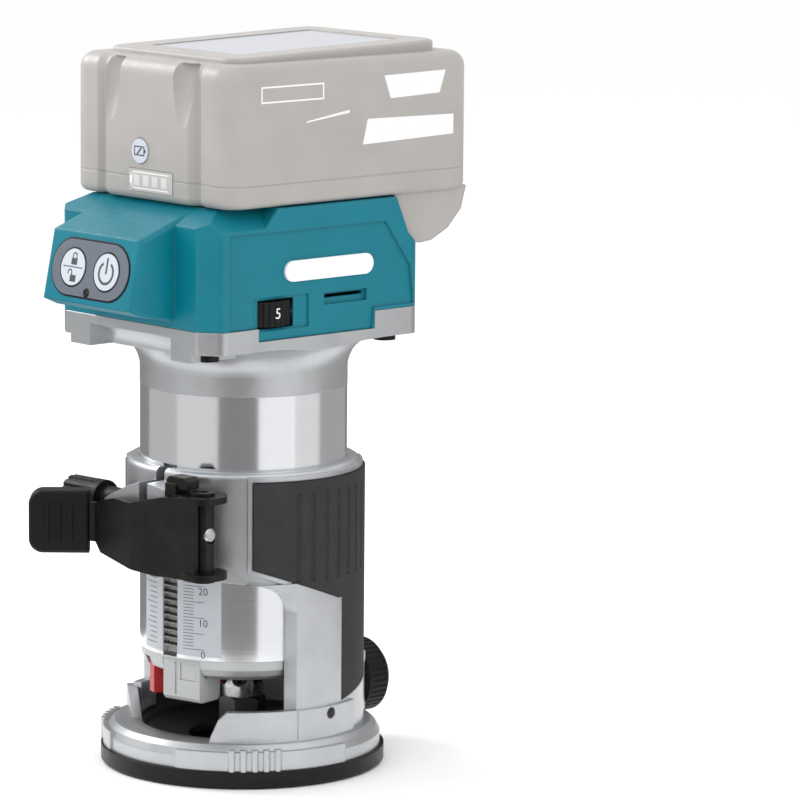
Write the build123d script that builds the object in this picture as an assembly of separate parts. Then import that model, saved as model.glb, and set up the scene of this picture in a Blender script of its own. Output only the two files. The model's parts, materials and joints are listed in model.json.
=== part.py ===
from build123d import *
from math import cos, sin, radians
import os

# Cordless trim router: a motor unit clamped in a round base, with a slide-on battery pack.
# Millimetres, +Z up.  The origin is the centre of the base plate's underside, on the spindle axis.
# The front (-Y) has the window, the clamp and the buttons; +X has the speed dial.
# Angles around the spindle axis are measured from the front, positive towards +X.

# ---- driving dimensions ----
plate_radius = 44.8          # base plate
plate_thickness = 5.4
plate_hole = 15.0
foot_radius = 43.5           # foot of the base casting
foot_top = 13.0
barrel_radius = 32.5         # motor barrel
barrel_bore = 27.5
barrel_bottom = 37.5
barrel_top = 120.5
collar_bore = 32.56          # running fit on the barrel
collar_radius = 36.8
collar_top = 97.5
grip_radius = 38.3
post_front = -9.8            # front face of the two posts beside the window
clamp_turn = 5.0             # the clamp, the rack and the scale sit this far off the front
split_half = 1.75
bolt_z = 80.0
bolt_y = -40.1
bolt_radius = 2.5
pivot_x = 22.1
web_bottom, web_top = 66.4, 92.2
rack_module = 0.75
pinion_teeth = 8
pinion_z = 84.5
rack_tip = 32.2              # radius of the rack's tooth tips
rack_top = 96.6
rack_slot_top = 98.2         # leaves room for the pinion's teeth at the lowest setting
label_top = 96.0
guard_angle = 47.5           # direction of the chip guard's slanted end
chip_wall_angle = -35.2
spindle_radius = 5.0
collar_height = 26.5         # height of the holes in the spindle collar
lock_angle = -20.0
lamp_angle = 11.5
head_half = 38.5             # half width of the head
head_front = -41.0
head_rear = 39.5
nose_half = 21.3
casting_top = 139.8
corner_bottom = 136.8
channel_floor = 168.0        # battery channel
housing_top = 180.2
face_tilt = 12.1             # lean of the button face
terminal_places = (-15.0, 0.0, 15.0)
battery_half = 38.3
battery_front = -39.5
battery_rear = 62.0
battery_bottom = 180.5
battery_seam = 187.5
battery_top = 225.6
lid_rise = 1.8
gauge_left, gauge_right = -8.2, 12.4
gauge_low, gauge_high = 183.2, 189.9
gauge_button_place = (-2.9, 195.6)
gauge_button_radius = 3.8
shell_top = 224.0
cell_radius = 9.0
cell_length = 65.0

rack_pitch = rack_module * 3.14159265
pinion_pitch_radius = rack_module * pinion_teeth / 2
pinion_y = -(rack_tip - rack_module * 0.8 + pinion_pitch_radius)
BOTTOM = (Align.CENTER, Align.CENTER, Align.MIN)

os.makedirs("parts", exist_ok=True)


# ---- shape helpers ----
def save(name, shape):
    export_step(shape, "parts/" + name + ".step")


def rod(radius, low, high, x=0.0, y=0.0):
    return Pos(x, y, low) * Cylinder(radius, high - low, align=BOTTOM)


def rod_x(radius, left, right, y, z):
    return Pos(left, y, z) * Rot(0, 90, 0) * Cylinder(radius, right - left, align=BOTTOM)


def rod_y(radius, front, rear, x, z):
    return Pos(x, front, z) * Rot(-90, 0, 0) * Cylinder(radius, rear - front, align=BOTTOM)


def tube(outer, inner, low, high):
    return rod(outer, low, high) - rod(inner, low - 1, high + 1)


def block(x, y, z):
    """A box from three (low, high) pairs."""
    centre = Pos((x[0] + x[1]) / 2, (y[0] + y[1]) / 2, (z[0] + z[1]) / 2)
    return centre * Box(x[1] - x[0], y[1] - y[0], z[1] - z[0])


def prism_z(points, low, high, radius=0.0):
    """A plan outline in X and Y, with rounded corners, raised from low to high."""
    if radius:
        outline = FilletPolyline(*points, radius=radius, close=True)
    else:
        outline = Polyline(*points, close=True)
    return extrude(Pos(0, 0, low) * make_face(outline), high - low)


def prism_x(points, left, right):
    """A side outline in Y and Z, drawn out along X."""
    return extrude(Plane.YZ.offset(left) * make_face(Polyline(*points, close=True)), right - left)


def prism_y(points, front, rear):
    """A front outline in X and Z, drawn out along Y."""
    return extrude(Plane.XZ.offset(-rear) * make_face(Polyline(*points, close=True)), rear - front)


def revolved(points):
    """A solid of revolution about the spindle axis, from points (radius, height)."""
    return revolve(Plane.XZ * make_face(Polyline(*points, close=True)), Axis.Z)


def around(radius, angle):
    return radius * sin(radians(angle)), -radius * cos(radians(angle))


def sector(outer, inner, low, high, start, end):
    """A piece of a tube between two angles around the spindle axis."""
    size = end - start
    arc_out = CenterArc((0, 0), outer, start - 90, size)
    arc_in = CenterArc((0, 0), inner, start - 90, size)
    outline = arc_out + arc_in + Line(arc_out @ 0, arc_in @ 0) + Line(arc_out @ 1, arc_in @ 1)
    return extrude(Pos(0, 0, low) * make_face(outline), high - low, dir=(0, 0, 1))


def turned(shape, angle=clamp_turn):
    """A piece drawn at the front, turned about the spindle axis."""
    return Rot(0, 0, angle) * shape


def facing(angle):
    """A plane through the spindle axis, seen squarely from that angle around it."""
    a = radians(angle)
    return Plane(origin=(0, 0, 0), x_dir=(cos(a), sin(a), 0), z_dir=(sin(a), -cos(a), 0))


def mirrored(points):
    """An outline's right half, followed by its mirror image."""
    return points + [(-x, y) for x, y in reversed(points)]


# ---- base: plate, casting, grips ----
def screw_places():
    return [around(37.0, angle) for angle in (40, 140, 220, 320)]


def make_base_plate():
    plate = rod(plate_radius, 0, plate_thickness) - rod(plate_hole, -1, plate_thickness + 1)
    plate = chamfer(plate.edges().filter_by(GeomType.CIRCLE).group_by(Axis.Z)[0].sort_by(SortBy.RADIUS)[-1], 0.8)
    for x, y in screw_places():
        plate -= rod(2.2, -1, plate_thickness + 1, x, y)
        plate -= Pos(x, y, -0.01) * Cone(4.2, 2.2, 2.4, align=BOTTOM)
    return plate


def make_base_plate_screws():
    screws = []
    for x, y in screw_places():
        head = Pos(x, y, 0.3) * Cone(3.85, 2.0, 2.0, align=BOTTOM)
        slot = block((x - 3, x + 3), (y - 0.5, y + 0.5), (0, 1.3))
        cross = block((x - 0.5, x + 0.5), (y - 3, y + 3), (0, 1.3))
        screws.append(head + rod(2.0, 2.0, 10.5, x, y) - slot - cross)
    return Compound(children=screws)


def foot():
    body = revolved([(17, plate_thickness), (foot_radius, plate_thickness), (foot_radius, 9.4), (42.2, 11.6),
                     (40.4, foot_top), (36.0, foot_top + 0.6), (30, 10.2), (17, 8.0)])
    for side in (-1, 1):
        start, end = sorted((21 * side, 96 * side))
        body += sector(foot_radius + 0.6, 40.0, plate_thickness, 11.4, start, end)
    for number in range(10):
        side = 1 if number < 5 else -1
        x, y = around(foot_radius + 0.3, side * (45.0 + 4.7 * (number % 5)))
        body += rod(1.15, plate_thickness, 12.2, x, y)
    return body


def window_cut():
    """The front opening: all in front of the two posts, up to an arch that is lower at the sides."""
    corners = [(-60, 13.2), (post_front, 13.2), (post_front, 58.4), (-19.5, 62.2), (-30, 63.5), (-60, 63.5)]
    arch = FilletPolyline(*corners, radius=[1.0, 1.0, 7.5, 12.0, 5.0, 1.0], close=True)
    return extrude(Plane.YZ.offset(-60) * make_face(arch), 120)


def chip_guard():
    """Low curved wall right of the opening, with a slanted front end."""
    wall = sector(38.9, 36.4, 9.0, 22.8, 27, 78)
    slant = [(-40, 30), (-40, 5), (-11.4, 5), (-8.8, 14.5), (-6.4, 20.0), (-3.4, 22.9), (-3.4, 30)]
    return wall - extrude(facing(guard_angle).offset(15) * make_face(Polyline(*slant, close=True)), 50)


def chip_wall():
    """Straight wall left of the opening, which slopes down towards the front."""
    outline = [(-23, 8), (-23, 19.5), (-20, 19.0), (10, 10.0), (10, 8)]
    return extrude(facing(chip_wall_angle).offset(31.8) * make_face(Polyline(*outline, close=True)), 3.2)


def post_tube():
    """The thicker lower half of the casting's tube, up to the sloping edge of the grips."""
    outline = [(-60, 9), (-60, 62.7), (post_front, 62.7), (7.1, 56.3), (60, 56.3), (60, 9)]
    return tube(grip_radius, collar_bore, 9.0, 63.0) & prism_x(outline, -60, 60)


def clamp_ears():
    """Two ears at the split, bored for the clamp bolt, and the boss of the pinion shaft."""
    left = prism_y([(-17.0, 72.0), (-1.0, 70.5), (-1.0, 94.0), (-7.0, 92.0), (-17.0, 87.0)], -44.2, -30.0)
    right = prism_y([(1.0, 70.5), (9.5, 71.5), (9.5, 92.6), (1.0, 94.0)], -44.2, -30.0)
    boss = rod_x(4.6, -17.0, 0.0, pinion_y, pinion_z)
    return turned(left + right + boss)


def clamp_cuts():
    gap = block((-split_half, split_half), (-60, -25), (50, 110))
    pinion_room = rod_x(4.2, -3.3, 3.3, pinion_y, pinion_z)
    shaft_bore = rod_x(2.05, -30, 8.0, pinion_y, pinion_z)
    bolt_bore = rod_x(bolt_radius + 0.05, -30, 20, bolt_y, bolt_z)
    head_room = rod_x(4.0, -30, -13.0, bolt_y, bolt_z)
    sleeve_room = rod_x(4.3, -32, -17.0, pinion_y, pinion_z)
    return turned(gap + pinion_room + shaft_bore + bolt_bore + head_room + sleeve_room)


def grip_outline(radius, grow):
    """The right-hand grip's area: an upper pad with a sloping lower edge and a rear strip."""
    turn = grow * 1.5
    pad = sector(radius, 30, 56.5 - grow, 94.6 + grow, 54 - turn, 150 + turn)
    slope = [(-40, 74.3 - grow), (7.1, 56.5 - grow), (7.1, 40), (-40, 40)]
    pad -= prism_x(slope, 0, 60)
    strip = sector(radius, 30, 23.5 - grow, 60.0, 103 - turn, 138 + turn)
    strip -= prism_x([(8.5, 23.5 - grow), (28, 27.5 - grow), (28, 15), (8.5, 15)], 0, 60)
    return pad + strip


def make_base_casting():
    body = foot()
    body += tube(collar_radius, collar_bore, 9.0, collar_top)
    body += post_tube()
    body += sector(39.3, 36.0, 9.0, 22.8, 74, 112)
    rim = body.edges().filter_by(GeomType.CIRCLE).group_by(Axis.Z)[-1].sort_by(SortBy.RADIUS)[-1]
    body = fillet(rim, 2.0)
    body -= window_cut()
    body += chip_guard() + chip_wall() + sector(38.9, 36.0, 9.0, 20.5, -112, -67)
    body += clamp_ears() - rod(collar_bore, 0, 120)
    body -= clamp_cuts()
    lip = grip_outline(37.5, 1.7) - rod(36.0, 0, 120)
    body += lip + mirror(lip, about=Plane.YZ)
    recess = grip_outline(60, 0.15) - rod(36.3, 0, 120)
    body -= recess
    body -= mirror(recess, about=Plane.YZ)
    body += block((-9.5, 9.5), (35.5, 43.7), (9.5, 30.0)) - rod(37.0, 0, 50)
    body -= rod_y(2.56, 33.5, 45, 0, 20)
    body -= turned(rod_y(1.8, -42, -30, 0, 20.5), 94)
    for x, y in screw_places():
        body -= rod(2.02, 4, 10.6, x, y)
    return body


def make_grip():
    """Right grip: a curved rubber pad with upright grooves."""
    grip = grip_outline(grip_radius, 0) - rod(36.35, 0, 120)
    for number in range(7):
        x, y = around(grip_radius + 0.5, 76 + 8.0 * number)
        grip -= rod(1.0, 63.0, 91.0, x, y)
    return grip


# ---- clamp: bolt, cross pin, cam block, lever ----
def make_clamp_bolt():
    head = rod_x(3.7, -17.6, -13.1, bolt_y, bolt_z)
    hexagon = Pos(-17.6, bolt_y, bolt_z) * Rot(0, 90, 0) * extrude(RegularPolygon(2.2, 6), 2.4)
    return turned(head - hexagon + rod_x(bolt_radius, -13.2, pivot_x + 3.3, bolt_y, bolt_z))


def make_cross_pin():
    pin = rod(3.6, web_bottom - 1.2, web_top + 1.0, pivot_x, bolt_y)
    pin -= rod_x(bolt_radius + 0.02, 10, 40, bolt_y, bolt_z)
    pin -= rod(1.6, web_top - 0.2, web_top + 2, pivot_x, bolt_y)
    return turned(pin)


def make_cam_block():
    plate = block((9.6, 14.2), (-44.2, -37.9), (70.5, 95.0))
    plate += block((9.6, 18.4), (-43.6, -38.2), (93.6, 97.2))
    plate = chamfer(plate.edges().filter_by(Axis.Y).group_by(Axis.Z)[-1], 1.2)
    return turned(plate - rod_x(bolt_radius + 0.05, 5, 20, bolt_y, bolt_z))


def lever_path():
    """Centre line of the bent web, from the pivot end to the tip."""
    return [(24.6, -45.6), (13.5, -46.9), (1.2, -49.6), (-9.5, -48.0), (-18.5, -46.6), (-24.3, -49.6),
            (-33.0, -57.6)]


def make_clamp_lever():
    path = FilletPolyline(*lever_path(), radius=4.0)
    web = extrude(Pos(0, 0, web_bottom) * trace(path, line_width=1.8), web_top - web_bottom)
    side = [(26, web_bottom), (26, web_top), (12, 91.2), (0, 88.3), (-8, 88.6), (-14.5, 86.8), (-17.5, 85.6),
            (-36, 85.6), (-36, 73.4), (-17.5, 73.4), (-15.0, 70.4), (0, 67.6), (10, web_bottom)]
    web &= prism_y(side, -65, -35)
    lever = web
    lip = [(26, -45.2), (14.7, -46.5), (14.7, -40.1), (16.2, -36.4), (26, -35.0)]
    for low in (web_bottom, web_top - 2.0):
        flange = prism_z(lip, low, low + 2.0) & rod(9.5, low, low + 2.0, pivot_x, bolt_y)
        flange += rod(7.4, low, low + 2.0, pivot_x, bolt_y)
        lever += flange
    lever -= rod(3.65, 50, 110, pivot_x, bolt_y)
    return turned(lever)


def tip_place():
    return turned(Pos(-28.1, -53.0, (web_bottom + web_top) / 2 + 0.2) * Rot(0, 0, 42.7))


def make_lever_tip():
    tip = Box(18.8, 6.6, 19.8)
    tip = fillet(tip.edges().filter_by(Axis.Y).group_by(Axis.X)[0], 4.5)
    tip = fillet(tip.edges().group_by(Axis.Y)[0], 1.2)
    for number in range(3):
        tip += Pos(-3.6 + 3.6 * number, -3.3, 0) * Box(1.3, 0.9, 12.0)
    path = FilletPolyline(*lever_path(), radius=4.0)
    web = extrude(Pos(0, 0, 73.4) * trace(path, line_width=1.8), 12.2)
    return tip_place() * tip - turned(web)


# ---- depth adjuster ----
def tooth(thickness_tip, thickness_root, low, high, length):
    """One tooth, drawn along +Y' from low to high, centred on X'."""
    outline = [(-thickness_root / 2, low), (thickness_root / 2, low), (thickness_tip / 2, high),
               (-thickness_tip / 2, high)]
    return extrude(make_face(Polyline(*outline, close=True)), length)


def make_pinion():
    """Toothed shaft; one tooth points at the rack when the motor is at rest."""
    core = Cylinder(pinion_pitch_radius - 0.85, 5.4, align=BOTTOM)
    for number in range(pinion_teeth):
        turn = Rot(0, 0, 360 / pinion_teeth * number)
        core += turn * tooth(0.42, 1.25, 1.8, pinion_pitch_radius + 0.5, 5.4)
    core = Pos(-2.7, pinion_y, pinion_z) * Rot(0, 90, 0) * core
    shaft = rod_x(2.0, -27.5, 7.8, pinion_y, pinion_z)
    return turned(core + shaft)


def make_adjuster_knob():
    knob = rod_x(5.6, -41.0, -26.2, pinion_y, pinion_z) + rod_x(3.9, -26.2, -17.7, pinion_y, pinion_z)
    for number in range(12):
        angle = radians(30 * number)
        knob -= rod_x(0.7, -42, -29, pinion_y + 5.8 * cos(angle), pinion_z + 5.8 * sin(angle))
    return turned(knob - rod_x(2.0, -27.5, -10, pinion_y, pinion_z))


# ---- guide clamp at the back ----
def make_clamp_knob():
    knob = rod_y(11.9, 43.9, 51.6, 0, 20) + Pos(0, 51.6, 20) * Rot(-90, 0, 0) * Cone(11.9, 9.6, 2.4, align=BOTTOM)
    for number in range(40):
        angle = radians(9 * number)
        knob -= rod_y(0.45, 44.5, 51.0, 12.0 * cos(angle), 20 + 12.0 * sin(angle))
    return knob - rod_y(2.5, 40, 50, 0, 20)


def make_clamp_knob_screw():
    return rod_y(2.5, 35.0, 50.0, 0, 20)


# ---- motor unit: barrel, rack, end cap, lock ----
def make_motor_barrel():
    barrel = tube(barrel_radius, barrel_bore, barrel_bottom, barrel_top)
    barrel -= turned(block((-3.0, 3.0), (-40, -28.9), (30, rack_slot_top)))
    barrel -= sector(barrel_radius + 1, barrel_radius - 0.25, 38.6, label_top, -19, 37.5)
    return barrel


def make_depth_rack():
    root = rack_tip - 1.55
    bar = block((-2.95, 2.95), (-root, -28.9), (38.5, rack_top))
    first = int((40.0 - pinion_z) / rack_pitch) - 1
    for number in range(first, 13):
        z = pinion_z + (number + 0.5) * rack_pitch
        if 39.5 < z < rack_top - 0.8:
            outline = [(-root + 0.05, z - 0.78), (-root + 0.05, z + 0.78), (-rack_tip, z + 0.22),
                       (-rack_tip, z - 0.22)]
            bar += prism_x(outline, -2.95, 2.95)
    return turned(bar)


def make_scale_label():
    """Thin printed plate with the height scale, let into the barrel beside the rack."""
    plate = sector(barrel_radius, barrel_radius - 0.25, 38.6, label_top, -19, 37.5)
    return plate - turned(block((-3.3, 3.3), (-40, -28), (30, 120)))


def make_end_cap():
    cap = revolved([(7.6, 31.0), (28.2, 31.0), (30.8, 32.4), (31.9, 34.6), (32.2, barrel_bottom),
                    (barrel_bore, barrel_bottom), (barrel_bore, 49.0), (24.0, 49.0), (24.0, 46.0), (7.6, 46.0)])
    cap -= rod(14.0, 38.0, 47)
    rail = turned(block((-3.7, 3.7), (-23.1, -12.0), (24.0, 31.5)), lock_angle)
    rail -= turned(rod_y(2.05, -40, -5, 0, collar_height), lock_angle)
    cap -= turned(block((-2.2, 2.2), (-40, -23.0), (20, 35.2)), lock_angle)
    cap -= turned(block((-7.25, 7.25), (-40, -28.3), (30, 36.7)), lamp_angle)
    return cap + rail


def make_lamp_lens():
    lens = block((-7.2, 7.2), (-31.0, -20.8), (23.4, 31.0))
    lens = chamfer(lens.edges().filter_by(Axis.X).group_by(Axis.Z)[0], 1.2)
    lens += block((-7.2, 7.2), (-31.0, -28.35), (30.9, 36.6))
    lens -= block((-2.6, -1.8), (-32.0, -30.6), (25.5, 35.6))
    lens -= block((-0.6, 5.8), (-32.0, -30.6), (30.2, 35.6))
    lens -= block((-4.0, 4.0), (-27.5, -22.5), (27.5, 31.5))
    return turned(lens, lamp_angle)


def make_lamp_board():
    return turned(block((-3.9, 3.9), (-27.4, -22.6), (29.4, 31.0)), lamp_angle)


def make_shaft_lock():
    tab = block((-1.9, 1.9), (-30.4, -26.9), (23.4, 33.8))
    pin = rod_y(2.0, -27.0, -7.2, 0, collar_height)
    return turned(tab + pin, lock_angle)


# ---- electric motor and spindle ----
def make_bearing(outer, inner, low, high):
    ring = tube(outer, outer - 1.8, low, high) + tube(inner + 1.8, inner, low, high)
    middle = (low + high) / 2
    return ring + tube(outer - 1.7, inner + 1.7, middle - 1.2, middle + 1.2)


def make_stator_core():
    core = tube(barrel_bore, 23.0, 56.0, 90.0)
    for number in range(6):
        core += turned(block((-3.4, 3.4), (-23.5, -16.2), (56.0, 90.0)), 60 * number + 30)
        core += sector(16.8, 14.8, 56.0, 90.0, 60 * number + 8, 60 * number + 52)
    return core


def make_windings():
    coils = []
    for number in range(6):
        coil = block((-6.2, 6.2), (-22.0, -17.4), (51.5, 94.5)) - block((-3.4, 3.4), (-30, -10), (56, 90))
        coils.append(turned(coil, 60 * number + 30))
    return Compound(children=coils)


def make_rotor():
    return tube(14.2, spindle_radius, 56.0, 90.0)


def make_fan():
    fan = tube(26.0, spindle_radius, 98.0, 99.6) + tube(9.0, spindle_radius, 99.6, 107.0)
    for number in range(11):
        blade = block((-0.7, 0.7), (-25.0, -8.5), (99.0, 107.0))
        fan += turned(blade, 360 / 11 * number)
    return fan


def make_spindle():
    shaft = rod(6.6, 20.5, 33.5) + rod(6.0, 33.5, 46.6) + rod(spindle_radius, 46.6, 112.0)
    shaft += rod(4.0, 112.0, 120.0) + rod(5.55, 13.5, 20.5)
    shaft -= Pos(0, 0, 13.4) * Cone(4.9, 4.0, 9.0, align=BOTTOM) + rod(3.3, 12, 40)
    for number in range(3):
        bore = rod_y(2.5, -10, 10, 0, collar_height)
        shaft -= turned(bore, lock_angle + 60 * number)
    return shaft


def make_collet():
    cone = Pos(0, 0, 13.5) * Cone(4.8, 4.05, 7.5, align=BOTTOM) + rod(4.8, 11.2, 13.5)
    cone -= rod(3.175, 5, 30)
    for number in range(3):
        cone -= turned(block((-0.35, 0.35), (-6, 0), (14.0, 30)), 120 * number)
    return cone


def make_collet_nut():
    nut = Pos(0, 0, 10.0) * extrude(RegularPolygon(7.5, 6), 10.4)
    nut &= revolved([(0, 10.0), (6.6, 10.0), (7.6, 11.0), (7.6, 19.4), (6.6, 20.4), (0, 20.4)])
    return nut - rod(5.6, 12.0, 25) - rod(4.85, 5, 30) + tube(5.3, 4.85, 10.4, 11.2)


# ---- head: casting and housing ----
def head_outline():
    return mirrored([(head_half, head_rear), (head_half, head_front), (31.5, -46.0)])


def head_prism(low, high):
    return prism_z(head_outline(), low, high, radius=[4.0, 4.0, 2.0, 2.0, 4.0, 4.0])


def corner_blocks():
    """Raised corner areas of the casting, which the housing steps over."""
    front = block((-head_half, head_half), (-50, -27.0), (corner_bottom, 143.8))
    rear = block((-head_half, head_half), (20.5, head_rear), (corner_bottom, 145.3))
    apron = block((-29.0, 29.0), (-50, -28.0), (134.0, 140.0))
    return (front + rear + apron) & head_prism(130, 150)


def head_screw_places():
    return [(28.0, -38.5), (-28.0, -38.5), (28.0, 34.0), (-28.0, 34.0)]


def neck_outline():
    """Section of the neck, which sweeps out from the barrel to the head."""
    sweep = ThreePointArc((32.6, 126.6), (35.6, 133.2), (42.5, 136.6))
    rest = Polyline((42.5, 136.6), (56.0, 137.4), (56.0, casting_top), (11.0, casting_top), (11.0, barrel_top),
                    (32.6, barrel_top), (32.6, 126.6))
    return sweep + rest


def make_head_casting():
    neck = revolve(Plane.XZ * make_face(neck_outline()), Axis.Z)
    casting = neck & head_prism(100, 160)
    casting += corner_blocks() - rod(34.0, 100, 160)
    casting -= rod_x(9.5, -19.5, 19.5, -46.4, 131.4)
    casting += tube(barrel_bore - 0.02, 24.0, 112.5, barrel_top) + tube(24.5, 11.0, 113.0, barrel_top)
    casting -= rod(25.0, 124.0, 150) - rod(14.0, 120, 132)
    for x, y in head_screw_places():
        casting -= rod(2.02, 120, 160, x, y) + rod(3.6, 120, corner_bottom, x, y)
    return casting


def make_head_screws():
    screws = []
    for x, y in head_screw_places():
        head = rod(3.5, corner_bottom - 2.8, corner_bottom, x, y)
        head -= rod(1.6, corner_bottom - 3, corner_bottom - 1.4, x, y)
        screws.append(head + rod(2.0, corner_bottom - 0.2, 152.0, x, y))
    return Compound(children=screws)


def nose_profile():
    return [(-40, 144.6), (-46.5, 146.0), (-58.6, 148.2), (-63.7, 150.4), (-59.2, 171.7), (-38.5, 179.2),
            (-30, housing_top)]


def shoulder_line():
    """Side outline above the slope on both sides of the nose."""
    return [(-36.5, 190), (-36.5, housing_top), (-50.5, 173.2), (-60, 173.2), (-60, 190)]


def shoulder_cut():
    """The slopes that lower the front end of both flanks."""
    above = prism_y([(28.5, 181.0), (39.5, 173.4), (39.5, 190), (28.5, 190)], -60, 0)
    ahead = prism_x([(-60, 165), (-26.5, 172.0), (-17.5, 182.0), (-17.5, 190), (-60, 190)], 20, 50)
    cut = above & ahead
    return cut + mirror(cut, about=Plane.YZ)


def face_plane():
    """Plane of the tilted button face, with its origin at the panel's centre."""
    lean = radians(face_tilt)
    return Plane(origin=(0, -61.5, 161.0), x_dir=(1, 0, 0), z_dir=(0, -cos(lean), sin(lean)))


def face_solid(sketch, depth, start=0.0):
    """A sketch on the button face, sunk from start to depth behind the face."""
    return extrude(face_plane().offset(-start) * sketch, -(depth - start))


def nose():
    """The button housing, which juts out of the head's front."""
    shape = prism_x(nose_profile(), -nose_half, nose_half)
    ends = shape.faces().sort_by(Axis.X)
    rims = ends[0].edges() + ends[-1].edges()
    outer = rims.filter_by(lambda edge: edge.center().Y < -41.0)
    return fillet(outer, 1.6)


def outer_top_edges(body):
    """The edges where the flanks meet the top and its slopes."""
    high = body.edges().filter_by(lambda edge: edge.center().Z > 168.0)
    return high.filter_by(lambda edge: abs(abs(edge.center().X) - head_half) < 0.01)


def battery_channel():
    wide = block((-30.2, 30.2), (-33.9, 60), (channel_floor, 176.2))
    neck = block((-27.2, 27.2), (-33.9, 60), (176.0, 190))
    return wide + neck


def side_recess():
    """Shallow sunk area on each flank, around the dial."""
    outline = [(-38.5, 173.0), (24.7, 173.0), (35.0, 158.5), (36.5, 146.5), (20.0, 146.5), (19.0, 136),
               (-38.5, 136)]
    return prism_x(outline, head_half - 0.7, 50) + prism_x(outline, -50, -head_half + 0.7)


def rear_notch():
    return [(29.7, 190), (29.7, housing_top), (35.3, 167.6), (38.2, 165.0), (60, 165.0), (60, 190)]


def make_head_housing():
    body = head_prism(139.9, housing_top)
    body -= prism_x(shoulder_line(), -50, 50)
    body -= shoulder_cut()
    body -= prism_x(rear_notch(), -50, 50)
    body -= corner_space()
    body = fillet(outer_top_edges(body), 1.0)
    body += nose()
    body -= side_recess()
    inner = [(head_half - 3.2, head_rear - 2.6), (head_half - 3.2, -37.5), (nose_half - 2.6, -45.5)]
    body -= prism_z(mirrored(inner), 130, 163.0)
    cavity = [(-38, 150.5), (-52.5, 150.5), (-58.9, 152.2), (-55.6, 168.6), (-38, 163.0)]
    body -= prism_x(cavity, -nose_half + 2.6, nose_half - 2.6)
    body -= battery_channel()
    body -= block((-6, 6), (-4.0, 60), (166.0, 170))
    body -= block((-20, 20), (-30.0, -24.0), (160, 170))
    body -= face_solid(SlotOverall(36.6, 17.4), 2.4)
    body -= face_solid(SlotOverall(33.0, 14.0), 6.0)
    body -= block((37.2, 50), (-28.4, -6.4), (142.9, 153.0))
    body -= block((30, 50), (-26.6, -12.2), (143.4, 152.3))
    body -= rod(12.8, 143.6, 152.1, 26.2, -19.4)
    for side in (-1, 1):
        body -= block(sorted((36.6 * side, 60 * side)), (0.0, 17.5), (149.0, 152.6))
    body -= block((-60, 60), (1.0, 16.5), (150.9, 152.0))
    for x, y in head_screw_places():
        body += rod(4.0, 145.4 if y > 0 else 143.9, 164.0, x, y) - rod(2.02, 130, 152.2, x, y)
    return body


def corner_space():
    """Room for the casting's raised corners under the housing."""
    front = block((-60, 60), (-60, -26.9), (130, 143.9))
    rear = block((-60, 60), (20.4, 60), (130, 145.4))
    return front + rear


def make_button_panel():
    panel = face_solid(SlotOverall(36.4, 17.2), 2.4, -0.3)
    for x in (-8.0, 8.0):
        panel -= face_solid(Pos(x, 0) * Circle(5.75), 5.0, -2.0)
    return panel


def make_button(x):
    cap = face_solid(Pos(x, 0) * Circle(5.65), 1.2, -0.5)
    return cap + face_solid(Pos(x, 0) * Circle(2.2), 4.6, 0.0)


def make_panel_board():
    board = face_solid(Rectangle(37.2, 15.0), 7.2, 6.0)
    for x in (-8.0, 8.0):
        board += face_solid(Pos(x, 0) * Rectangle(4.5, 4.5), 6.1, 5.5)
    return board


def make_speed_dial():
    dial = rod(12.4, 144.0, 151.7, 26.2, -19.4) - rod(2.0, 140, 160, 26.2, -19.4)
    for number in range(36):
        angle = radians(10 * number + 5)
        dial -= rod(0.35, 143, 153, 26.2 + 12.5 * cos(angle), -19.4 + 12.5 * sin(angle))
    return dial


def make_dial_pin():
    return rod(1.95, casting_top, 153.5, 26.2, -19.4) + rod(5.0, casting_top, 143.6, 26.2, -19.4)


def make_control_board():
    board = block((-32, 32), (-26, 30), (154.5, 156.1))
    for x, y in ((-20, -14), (-8, -14), (8, -14), (-20, 14), (-8, 14), (8, 14)):
        board += block((x - 3, x + 3), (y - 4, y + 4), (156.0, 158.4))
    board += rod(5.5, 156.0, 162.5, 22, 8)
    return board


def make_side_badge():
    """Plain raised bar on each flank."""
    bar = extrude(Plane.YZ.offset(head_half - 0.7) * Pos(1.5, 160.5) * SlotOverall(36, 6.4), 0.9)
    return Compound(children=[bar, mirror(bar, about=Plane.YZ)])


def make_terminal_block():
    base = block((-19.5, 19.5), (-29.8, -24.2), (162.0, channel_floor))
    for x in terminal_places:
        base -= block((x - 0.4, x + 0.4), (-28.8, -25.2), (163.5, 170))
    return base


def make_terminal_blades():
    blades = []
    for x in terminal_places:
        foot_part = block((x - 0.4, x + 0.4), (-28.8, -25.2), (163.5, 170))
        blades.append(foot_part + block((x - 0.4, x + 0.4), (-28.8, -8.0), (168.6, 174.0)))
    return Compound(children=blades)


# ---- battery pack ----
def battery_outline():
    right = [(battery_half, battery_rear), (battery_half, -38.7), (24.8, -38.7), (22.6, -36.8),
             (19.6, battery_front)]
    return mirrored(right)


def pack_plan(low, high):
    """The pack's plan: round corners, and a groove on each side of the front's middle."""
    side = [8.0, 8.0, 1.0, 1.0, 1.2]
    return prism_z(battery_outline(), low, high, radius=side + side[::-1])


def finger_grooves():
    """Two tapered grooves in the front for pulling the pack off."""
    groove = Pos(17.4, -44.6, 203) * Rot(-16, 0, 0) * Cylinder(4.6, 40, align=BOTTOM)
    groove &= block((8, 26), (-60, -30), (200, shell_top - 0.4))
    return groove + mirror(groove, about=Plane.YZ)


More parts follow.
